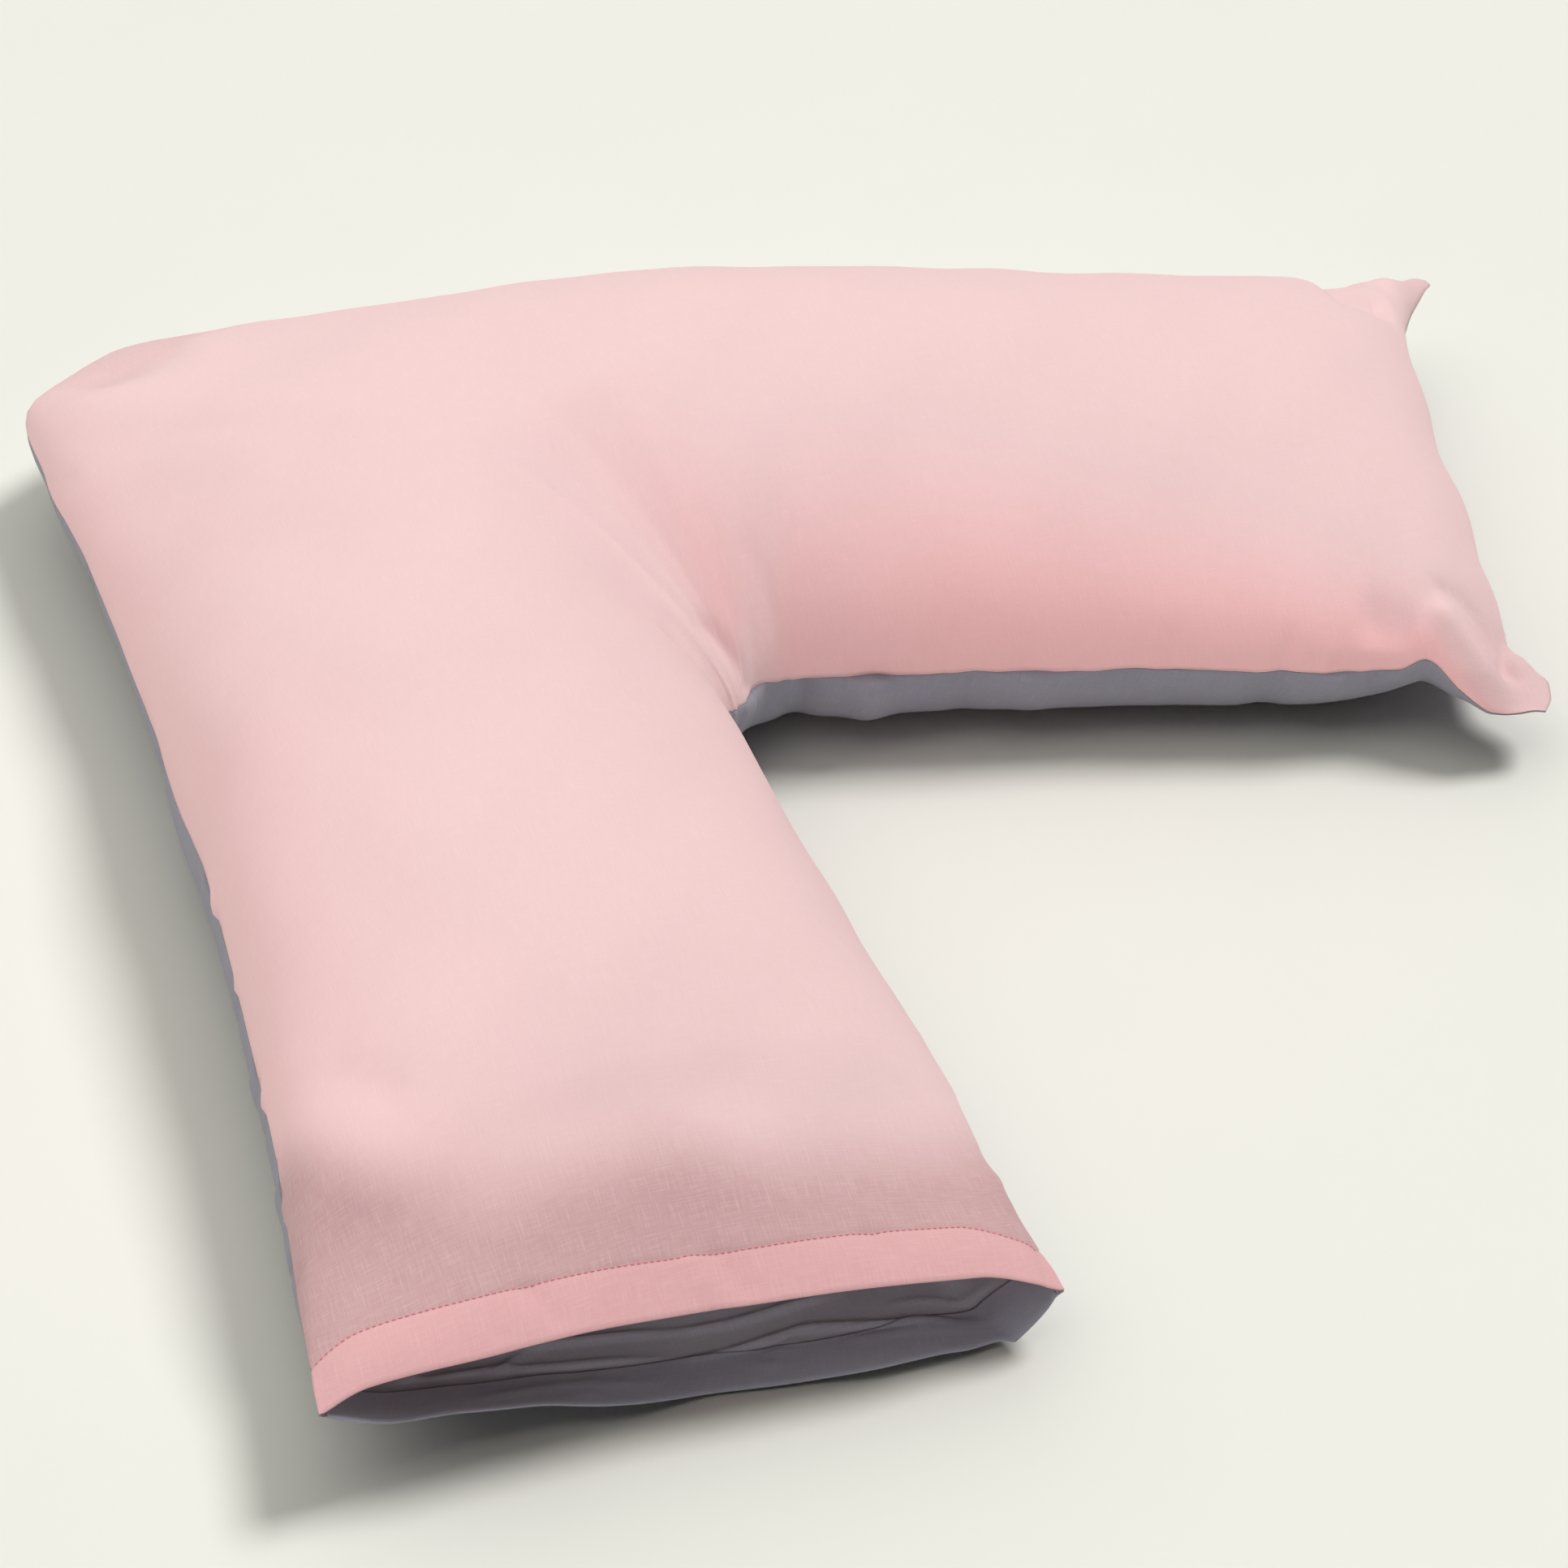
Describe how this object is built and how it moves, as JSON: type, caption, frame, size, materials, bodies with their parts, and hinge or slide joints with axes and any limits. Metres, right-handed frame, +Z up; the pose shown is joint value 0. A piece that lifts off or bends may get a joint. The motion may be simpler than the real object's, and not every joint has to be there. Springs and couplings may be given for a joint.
{
  "type": "v-shaped pillow",
  "caption": "V-shaped pillow in a thin cotton slip case, pink on top and slate grey below, with an open hemmed mouth at the end of one leg and loose sewn corners.",
  "frame": {"origin": "on the floor, under the middle of the bounding box", "axes": "+Z up, +Y from the open side of the V towards its apex, +X across the V towards the leg that is closed; the leg with the mouth is on the -X side"},
  "size_m": [1.1214, 0.8848, 0.1862],
  "materials": {
    "pink_cotton": "matt plain-woven cotton, thin enough for the white pillow to show through",
    "slate_cotton": "matt plain-woven cotton",
    "white_ticking": "matt close-woven cotton"
  },
  "bodies": {
    "root": {"top_panel": "pink_cotton", "bottom_panel": "slate_cotton", "inner_pillow": "white_ticking"}
  },
  "joints": []
}
